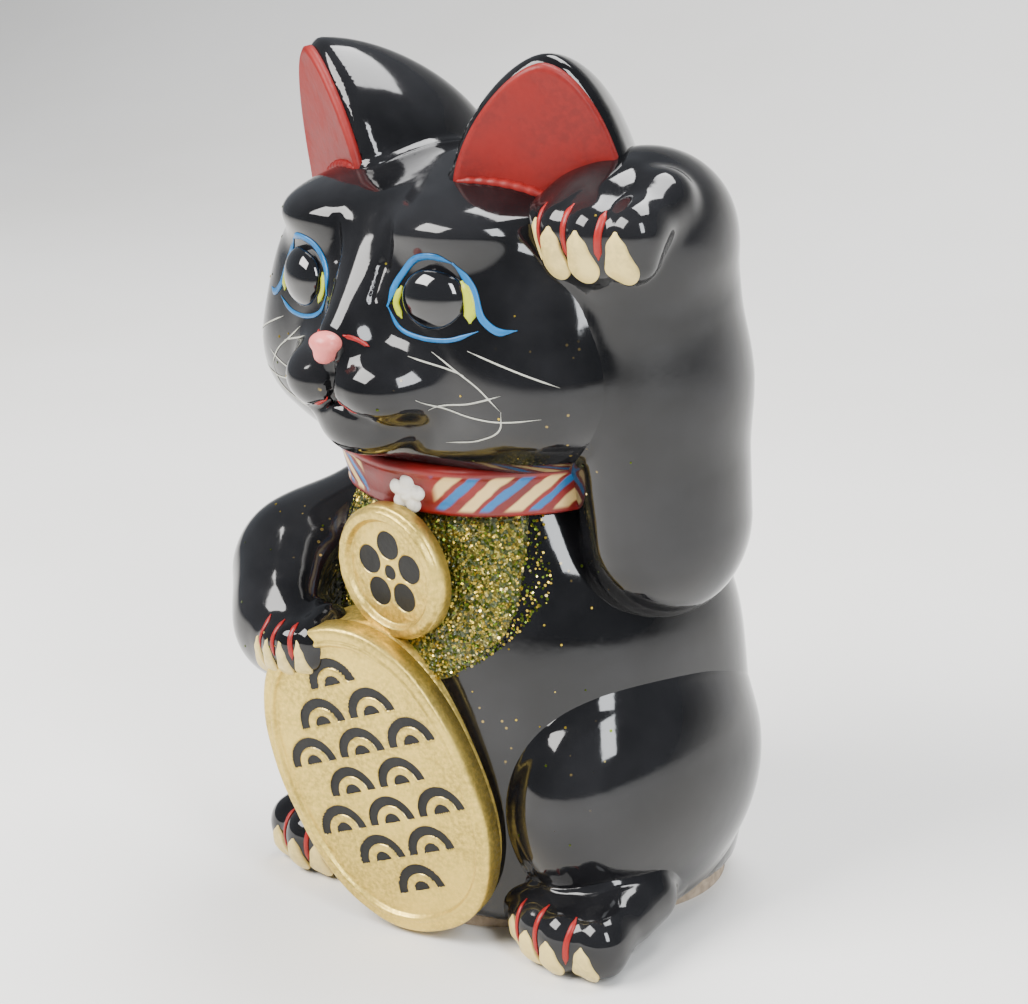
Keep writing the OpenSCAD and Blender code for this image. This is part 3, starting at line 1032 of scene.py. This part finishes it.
class CAT_OT_bib(bpy.types.Operator):
    """Lays the glitter coat on the chest, and scatters flakes on it"""

    bl_idname = "cat.bib"
    bl_label = "Bib"

    def execute(self, context):
        torso = torso_form()
        rows, columns = 70, 220
        radius, start_z, middle_z, top_z = 49.0, 128.0, 140.0, 149.0

        share = np.concatenate([[0], np.repeat(np.arange(1, rows + 1) / rows, columns)])
        a = np.concatenate([[0], np.tile(np.arange(columns) * 2 * math.pi / columns, rows)])
        edge = radius + 0.5 * np.sin(9 * a + 1) + 0.35 * np.sin(23 * a)
        x = share * edge * np.sin(a)
        z = start_z + share * (middle_z - start_z + edge * np.cos(a))
        z = np.minimum(z, start_z + share * (top_z - start_z))
        limit = along(z, (85, 120, 150), (52, 49, 39.5))
        x = limit * np.tanh(x / limit * 1.15)
        points = np.stack([x, in_front(torso, x, z), z], 1) * MM
        normal = slope(torso, points)
        normal /= np.linalg.norm(normal, axis=1, keepdims=True)
        lumps = np.random.default_rng(5).normal(0, 0.11, 1 + rows * columns)
        lift = 1.55 * np.clip(1 - share**26, 0.0, 1) ** 0.5 + lumps * (share < 0.985)
        mesh = lens(columns, rows, points + normal * lift[:, None] * MM, points - normal * MM, "bib")
        add_piece("bib_coat", mesh, Finishes.get("glitter"), ["bib"])
        rng = random.Random(11)
        spots = []
        while len(spots) < 3800:
            a, r = rng.uniform(0, 2 * math.pi), 49.5 * math.sqrt(rng.random())
            x, z = r * math.sin(a), middle_z + r * math.cos(a)
            if z < top_z - 2 and abs(x) < 47 - max(0, z - 120) * 0.32:
                spots.append((x, z))
        x, z = np.array(spots).T
        points = np.stack([x, in_front(torso, x, z), z], 1) * MM
        self.scatter("bib_flakes", torso, points, 1.75, rng, 34)
        return {"FINISHED"}

    @staticmethod
    def scatter(name, form, points, lift, rng, tilt):
        """Six-sided flakes on a form: each its own size, tilt and shade."""
        normal = slope(form, points)
        normal /= np.linalg.norm(normal, axis=1, keepdims=True)
        size = settings().glitter.flake
        bm = bmesh.new()
        layer = bm.faces.layers.float.new("shade")
        for point, up in zip(points, normal):
            up = Vector(up)
            lean = Euler([math.radians(rng.uniform(-tilt, tilt)) for _ in range(3)]).to_matrix()
            turn = (lean @ up).to_track_quat("Z", "X").to_matrix().to_4x4()
            wide = size * rng.uniform(0.3, 0.62)
            spin = Matrix.Rotation(rng.uniform(0, 6), 4, "Z")
            place = Matrix.Translation(Vector(point) + up * lift * MM) @ turn @ spin
            made = bmesh.ops.create_cone(
                bm, cap_ends=True, segments=6, radius1=wide, radius2=wide * 0.96, depth=0.00012, matrix=place
            )
            shade = rng.random()
            for face in {f for v in made["verts"] for f in v.link_faces}:
                face[layer] = shade
        mesh = bpy.data.meshes.new(name)
        bm.to_mesh(mesh)
        bm.free()
        add_piece(name, mesh, Finishes.get("flake"), ())


class CAT_OT_strays(bpy.types.Operator):
    """Scatters the gold flakes that strayed onto the black glaze"""

    bl_idname = "cat.strays"
    bl_label = "Stray Flakes"

    def execute(self, context):
        rng = random.Random(23)
        forms = [torso_form(), head_form(), haunch_form(), raised_arm_form(), lowered_arm_form()]
        whole = forms[0]
        for form in forms[1:] + [haunch_form().mirrored()]:
            whole = whole.add(form, 3)
        count = settings().glitter.strays
        spots = []
        while len(spots) < count:
            x, z = rng.uniform(-80, 80), rng.uniform(30, 250)
            if rng.random() < 0.15 + 0.85 * math.exp(-((x / 60) ** 2) - ((z - 125) / 45) ** 2):
                spots.append((x, z))
        x, z = np.array(spots).T
        points = np.stack([x, in_front(whole, x, z), z], 1) * MM
        keep = (np.abs(whole(points)) < 0.2 * MM) & (slope(whole, points)[:, 1] < -0.35)
        CAT_OT_bib.scatter("stray_flakes", whole, points[keep], 0.08, rng, 12)
        return {"FINISHED"}


# Where the medallion and the oval coin lie, their turns in degrees, and their sizes
MEDALLION_AT, MEDALLION_LEAN, MEDALLION_R = (1, -51, 127), 93, 22.4
KOBAN_AT, KOBAN_YAW, KOBAN_LEAN, KOBAN_TILT = (-4, -59, 56), 12, 94, 21
KOBAN_HALF_W, KOBAN_HALF_L, KOBAN_ROUND = 38.0, 55.0, 2.25
WAVE_ROWS = (1, 2, 3, 2, 3, 2, 1)
WAVE_R, WAVE_LINE = 9.6, 3.6
WAVES = tuple(
    ((k - (count - 1) / 2) * 2.2 * WAVE_R, (i - 3) * 12.5 - WAVE_R / 4)
    for i, count in enumerate(WAVE_ROWS)
    for k in range(count)
)


def wave(u, v, centre):
    """Below zero inside a half disc and the half ring about it."""
    reach = np.hypot(u - centre[0], v - centre[1])
    ring = np.abs(reach - (WAVE_R - WAVE_LINE / 2)) - WAVE_LINE / 2
    return np.maximum(np.minimum(ring, reach - (WAVE_R - 2 * WAVE_LINE + 1)), centre[1] - v)


def koban_pattern(u, v):
    inside = np.full(len(u), 99.0)
    for centre in WAVES:
        inside = np.minimum(inside, wave(u, v, centre))
    return inside


def plum_pattern(u, v):
    inside = np.hypot(u, v) - 2.6
    for i in range(5):
        a = math.radians(i * 72)
        inside = np.minimum(inside, np.hypot(u + 9.2 * math.sin(a), v - 9.2 * math.cos(a)) - 4.9)
    return inside


def turned(degrees, axis):
    return Matrix.Rotation(math.radians(degrees), 4, axis)


def mark_sunk(mesh, place, pattern):
    """Marks how far each point of the front lies inside the sunk pattern."""
    points = coordinates(mesh)
    back = np.array(place.inverted())
    local = (points @ back[:3, :3].T + back[:3, 3]) / MM
    inside = 1 - soft_step(pattern(local[:, 0], local[:, 1]), -0.35, 0.1)
    inside = inside * (local[:, 2] > 0)
    layer = mesh.attributes.new("sunk", "FLOAT", "POINT")
    layer.data.foreach_set("value", inside.astype(np.float32))


class CAT_OT_gold(bpy.types.Operator):
    """Models the round medallion and the oval coin, their patterns sunk and blackened"""

    bl_idname = "cat.gold"
    bl_label = "Medallion and Koban"

    def execute(self, context):
        place = Matrix.Translation(Vector(MEDALLION_AT) * MM) @ turned(MEDALLION_LEAN, "X")

        def top(x, y, share):
            rise = 2.55 + 2.1 * soft_step(share, 0.76, 0.83) * (1 - soft_step(share, 0.90, 1.0) ** 2)
            wobble = 0.08 * np.sin(x * 0.9 + 1) * np.sin(y * 1.1)
            return rise + wobble - 1.1 * (1 - soft_step(plum_pattern(x, y), -0.7, 0.15))

        def rim(a):
            return (MEDALLION_R * math.cos(a), MEDALLION_R * math.sin(a))

        mesh = dense_disc(rim, 90, 220, "medallion", top, -2.2, place)
        mark_sunk(mesh, place, plum_pattern)
        add_piece("medallion_gold", mesh, Finishes.get("sunk_gold"), ["medallion"])

        place = Matrix.Translation(Vector(KOBAN_AT) * MM) @ turned(KOBAN_YAW, "Z")
        place = place @ turned(KOBAN_LEAN, "X") @ turned(KOBAN_TILT, "Z")

        def outline(a):
            c, s = math.cos(a), math.sin(a)
            gauge = abs(c / KOBAN_HALF_W) ** KOBAN_ROUND + abs(s / KOBAN_HALF_L) ** KOBAN_ROUND
            reach = gauge ** (-1 / KOBAN_ROUND)
            return (reach * c, reach * s)

        def coin(x, y, share):
            edge = 1.5 * (1 - np.sqrt(np.clip(1 - np.clip((share - 0.955) / 0.045, 0, 1) ** 2, 0, 1)))
            rim = 1.5 * soft_step(share, 0.875, 0.90) - 0.5 * soft_step(share, 0.91, 0.93)
            sunk = 1.5 * (1 - soft_step(koban_pattern(x, y), -0.8, 0.2))
            hand = 0.15 * np.sin(x * 0.31 + 1) * np.sin(y * 0.23)
            return 2.7 + rim + hand - sunk - edge

        mesh = dense_disc(outline, 150, 300, "koban", coin, -4.0, place)
        mark_sunk(mesh, place, koban_pattern)
        add_piece("koban_gold", mesh, Finishes.get("sunk_gold"), ["koban"])
        backing = only_above(koban_backing(place), 0.3)
        mesh = sculpted("koban_backing", backing)
        add_piece("koban_backing", mesh, Finishes.get("gold"), ())
        return {"FINISHED"}


def koban_backing(place):
    """The clay that fills the space between the coin and the belly."""
    back = np.array(place.inverted())

    def field(p):
        u, v, w = ((p @ back[:3, :3].T + back[:3, 3]) / MM).T
        wide, tall = KOBAN_HALF_W - 1.5, KOBAN_HALF_L - 1.5
        gauge = (np.abs(u / wide) ** KOBAN_ROUND + np.abs(v / tall) ** KOBAN_ROUND) ** (1 / KOBAN_ROUND)
        slab = np.maximum(w + 3.0, -(w + 24))
        return np.maximum((gauge - 1) * 36, slab) * MM

    ball = place @ Matrix.Translation((0, 0, -13 * MM)) @ Matrix.Diagonal((35 * MM, 52 * MM, 12 * MM, 1))
    return Clay(field, [ball])


class CAT_OT_face(bpy.types.Operator):
    """Adds the nose and eyes, and paints the eye outlines, mouth and whiskers"""

    bl_idname = "cat.face"
    bl_label = "Face"

    def execute(self, context):
        nose = nose_form()
        mesh = sculpted("nose", nose, 0.0007)
        add_piece("nose_pink", mesh, Finishes.get("pink"), ["nose"])
        for side, word in ((LEFT, "left"), (RIGHT, "right")):
            eye = eye_form() if side == LEFT else eye_form().mirrored()
            mesh = sculpted(word + "_eye", eye, 0.0009)
            add_piece(word + "_eye_form", mesh, Finishes.get("eye"), [word + "_eye"])
        face = face_form()
        for finish in SLOTS:
            lines = []
            for side in (LEFT, RIGHT):
                for k, (kind, half, path) in enumerate(STROKES):
                    if kind == finish:
                        laid = [(side * x, y, z) for x, y, z in path]
                        lines.append(painted_line(face, laid, half, f"{finish}_{side}_{k}"))
            mesh = combined(lines, "face_" + finish)
            add_piece("face_" + finish, mesh, Finishes.get(finish), ())
        return {"FINISHED"}


# Brush strokes of the left half of the face: finish, half width, points laid on the head
STROKES = (
    ("blue_line", 1.15,
     [(13.5, -60, 216), (16, -58, 224), (22, -57.5, 230), (29, -56.5, 231.5), (35.5, -54, 229.5)]),
    ("blue_line", 1.15,
     [(35, -54, 229.8), (40.5, -52, 223.5), (45, -52, 214), (49, -50, 211), (54, -47, 211.5)]),
    ("blue_line", 0.7,
     [(13.5, -60, 216.5), (17.5, -60, 210.5), (25, -58.5, 207.8), (34, -56.5, 207.6), (43.5, -53, 211)]),
    ("yellow_line", 2, [(37.2, -53, 225), (40.2, -53, 219.5), (40.6, -53, 213)]),
    ("yellow_line", 1.2, [(17.5, -58, 222.5), (16.2, -59, 217.5), (18.6, -60, 213)]),
    ("whisker", 0.27, [(22.5, -61, 202.3), (31, -58, 200), (39.5, -56, 197.5)]),
    ("whisker", 0.27, [(29, -58, 204), (36, -56, 199), (44, -54.5, 193.8), (50, -51, 187)]),
    ("whisker", 0.27, [(50, -51, 187), (48.6, -50, 181.7), (40, -50, 176.5), (27.5, -52, 174)]),
    ("whisker", 0.27, [(40.5, -55, 205), (49.6, -52, 201.7), (58, -47, 198), (65.8, -42, 194.6)]),
    ("whisker", 0.27, [(24, -62, 190.6), (31, -57, 186.5), (44.5, -52, 183.8), (60.5, -45, 184.9)]),
    ("whisker", 0.27, [(26.5, -58, 186.6), (39.3, -55, 188.5), (50.7, -52, 192.1)]),
    ("red_line", 0.8, [(2, -72, 188.5), (6, -71, 186.5), (9.5, -70, 185.8)]),
    ("red_line", 0.7, [(4.6, -70, 208.2), (7.5, -67, 206.5), (10.5, -65, 204)]),
)
SLOTS = {
    "blue_line": "eye_black",
    "yellow_line": "eye_black",
    "whisker": "gold_paint",
    "red_line": "collar_red",
}


def nose_form():
    nose = egg((0, -73, 206), (5.6, 4.6, 3.4))
    return nose.add(egg((0, -73.5, 202.6), (3, 4, 3)), 1.5)


def eye_form():
    return egg((28, -53.4, 219), (10.6, 6.5, 9.8), (0, 0, 22))


class CAT_OT_claws(bpy.types.Operator):
    """Adds the pale gold claws of all four paws, and the red strokes between their toes"""

    bl_idname = "cat.claws"
    bl_label = "Claws"

    def execute(self, context):
        roots = [((x, y - 7, 230), (x, y - 7, 241.5), 5.3) for x, y in RAISED_TOES]
        gaps = [((x, -34, 247), (x, -38, 241), (x, -38, 233)) for x in (56.8, 67.5, 78.5)]
        self.group("raised_paw", ["raised_paw_claws"], raised_arm_form(), roots, gaps, 1.15)
        roots = [((x, y - 5, 90 + i), (x, y - 5, 100 + i), 3.0) for i, (x, y) in enumerate(LOWERED_TOES)]
        gaps = [((x, -68, 108), (x, -71, 104), (x, -71, 97)) for x in (-41.5, -34.5, -27.8)]
        self.group("lowered_paw", ["lowered_paw_claws"], lowered_arm_form(), roots, gaps, 0.9)
        for side, word in ((LEFT, "left"), (RIGHT, "right")):
            form = foot_form() if side == LEFT else foot_form().mirrored()
            roots = [((side * x, y - 8, 4.5), (side * x, y - 8, 14), 4.6) for x, y in FOOT_TOES]
            gaps = [((side * x, -42, 20), (side * x, -47, 15), (side * x, -48, 7)) for x in (44.5, 54, 64.5)]
            self.group(word + "_foot", [word + "_foot_claws"], form, roots, gaps, 1.0)
        return {"FINISHED"}

    @staticmethod
    def group(name, nodes, form, roots, gaps, stroke):
        """Leaf-shaped claws laid on the toes, wide below and pointed above."""
        meshes = []
        for k, (base, tip, wide) in enumerate(roots):
            low, high = settled(form, np.array([base, tip], float) * MM, 8) / MM
            leaf = limb([(*low, wide), (*(low * 0.4 + high * 0.6), wide * 0.62), (*high, 0.5)], soft=1)
            meshes.append(sculpted(f"{name}_claw_{k}", trimmed(leaf, form, 0.85), 0.0006))
        claws = combined(meshes, name + "_claws")
        add_piece(name + "_claw_leaves", claws, Finishes.get("claw"), nodes)
        strokes = [painted_line(form, path, stroke, f"{name}_stroke_{k}") for k, path in enumerate(gaps)]
        red = combined(strokes, name + "_strokes")
        add_piece(name + "_strokes", red, Finishes.get("red_line"), ())


def trimmed(leaf, form, thick):
    """The part of a leaf that stands no more than thick above a form."""
    return Clay(lambda p: -smooth_min(-leaf(p), -(form(p) - thick * MM), 0.5 * MM), leaf.balls)


class CAT_OT_finish_cad(bpy.types.Operator):
    """Gives the carried-over base plate, stopper and sunk patterns their materials"""

    bl_idname = "cat.finish_cad"
    bl_label = "Base and Stopper"

    def execute(self, context):
        looks = {
            "base_plate": ("clay", "bare_clay"),
            "stopper": ("plug", "soft_plug"),
            "medallion_inlay": ("sunk_black", "sunk_black"),
            "koban_inlay": ("sunk_black", "sunk_black"),
        }
        for node, (finish, slot) in looks.items():
            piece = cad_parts[node]
            piece.data.materials.clear()
            piece.data.materials.append(Finishes.get(finish))
        return {"FINISHED"}


class CAT_OT_stage(bpy.types.Operator):
    """Sets the pale floor, the window lights and the camera"""

    bl_idname = "cat.stage"
    bl_label = "Stage"

    def execute(self, context):
        self.floor()
        self.world()
        knobs = settings().stage
        self.light("window", (-0.45, -0.95, 1.2), (0.95, 0.75), knobs.window, (1.0, 0.98, 0.95))
        self.light("lamp", (1.3, -0.5, 1.0), (0.35, 0.9), knobs.lamp, (0.94, 0.97, 1.0))
        self.light("top", (0.1, 0.5, 1.6), (1.1, 0.6), knobs.top, (1.0, 1.0, 1.0))
        self.camera(knobs)
        return {"FINISHED"}

    @staticmethod
    def floor():
        bm = bmesh.new()
        bmesh.ops.create_grid(bm, x_segments=60, y_segments=60, size=3.0)
        for vert in bm.verts:
            away = max(0, vert.co.y - 0.7)
            vert.co.z = 0.5 * away * away
        floor = bpy.data.objects.new("floor", mesh_from(bm, "floor"))
        bpy.context.scene.collection.objects.link(floor)
        paint = Paint("floor_paper", Specular_IOR_Level=0.25)
        grain = paint.noise(240, 4)
        cloud = paint.noise(3, 3)
        paint.set(Base_Color=cloud.between(0.3, 0.7).mix((0.80, 0.785, 0.755), (0.84, 0.83, 0.81)))
        paint.set(Roughness=grain * 0.2 + 0.6)
        floor.data.materials.append(paint.bump(grain, 0.0004, 0.2).material)

    @staticmethod
    def world():
        world = bpy.data.worlds.new("studio")
        world.use_nodes = True
        ground = world.node_tree.nodes["Background"]
        ground.inputs["Color"].default_value = (0.80, 0.86, 0.95, 1)
        ground.inputs["Strength"].default_value = 0.36
        bpy.context.scene.world = world

    @staticmethod
    def light(name, place, size, power, colour):
        data = bpy.data.lights.new(name, "AREA")
        data.shape = "RECTANGLE"
        data.size, data.size_y = size
        data.energy = power
        data.color = colour
        lamp = bpy.data.objects.new(name, data)
        lamp.location = place
        aim = Vector((0, 0, 0.13)) - Vector(place)
        lamp.rotation_euler = aim.to_track_quat("-Z", "Y").to_euler()
        bpy.context.scene.collection.objects.link(lamp)

    @staticmethod
    def camera(knobs):
        a, e, r = knobs.azimuth, knobs.elevation, knobs.roll
        back = Vector((math.sin(a) * math.cos(e), -math.cos(a) * math.cos(e), math.sin(e)))
        right = Vector((math.cos(a), math.sin(a), 0))
        up = back.cross(right)
        right, up = right * math.cos(r) + up * math.sin(r), up * math.cos(r) - right * math.sin(r)
        data = bpy.data.cameras.new("view")
        data.lens = knobs.lens
        camera = bpy.data.objects.new("view", data)
        camera.location = Vector((0.9, 5.6, 134.3)) * MM + back * knobs.distance
        camera.rotation_euler = Matrix((right, up, back)).transposed().to_euler()
        bpy.context.scene.collection.objects.link(camera)
        bpy.context.scene.camera = camera


# ---- Panel and registration -----------------------------------------------------------------

STEPS = ("body", "arms", "head", "collar", "bib", "strays", "gold", "face", "claws", "finish_cad", "stage")


class CAT_PT_panel(bpy.types.Panel):
    """Buttons for every group of pieces"""

    bl_label = "Beckoning Cat"
    bl_idname = "CAT_PT_panel"
    bl_space_type = "VIEW_3D"
    bl_region_type = "UI"
    bl_category = "Cat"

    def draw(self, context):
        for group in (settings().clay, settings().paint, settings().glitter, settings().stage):
            box = self.layout.box()
            for name in group.__annotations__:
                box.prop(group, name)
        for step in STEPS:
            self.layout.operator("cat." + step)


class CatSettings(bpy.types.PropertyGroup):
    """All the settings of the cat"""

    clay: PointerProperty(name="Clay", description="How the forms are modelled", type=ClaySettings)
    paint: PointerProperty(name="Paint", description="Colours", type=PaintSettings)
    glitter: PointerProperty(name="Glitter", description="Flakes", type=GlitterSettings)
    stage: PointerProperty(name="Stage", description="Camera and light", type=StageSettings)


CLASSES = (
    ClaySettings,
    PaintSettings,
    GlitterSettings,
    StageSettings,
    CatSettings,
    CAT_OT_body,
    CAT_OT_arms,
    CAT_OT_head,
    CAT_OT_collar,
    CAT_OT_bib,
    CAT_OT_strays,
    CAT_OT_gold,
    CAT_OT_face,
    CAT_OT_claws,
    CAT_OT_finish_cad,
    CAT_OT_stage,
    CAT_PT_panel,
)


def register():
    for cls in CLASSES:
        bpy.utils.register_class(cls)
    bpy.types.Scene.cat = PointerProperty(type=CatSettings)


def unregister():
    del bpy.types.Scene.cat
    for cls in reversed(CLASSES):
        bpy.utils.unregister_class(cls)


def main():
    register()
    for step in STEPS:
        getattr(bpy.ops.cat, step)()


if __name__ == "__main__":
    main()
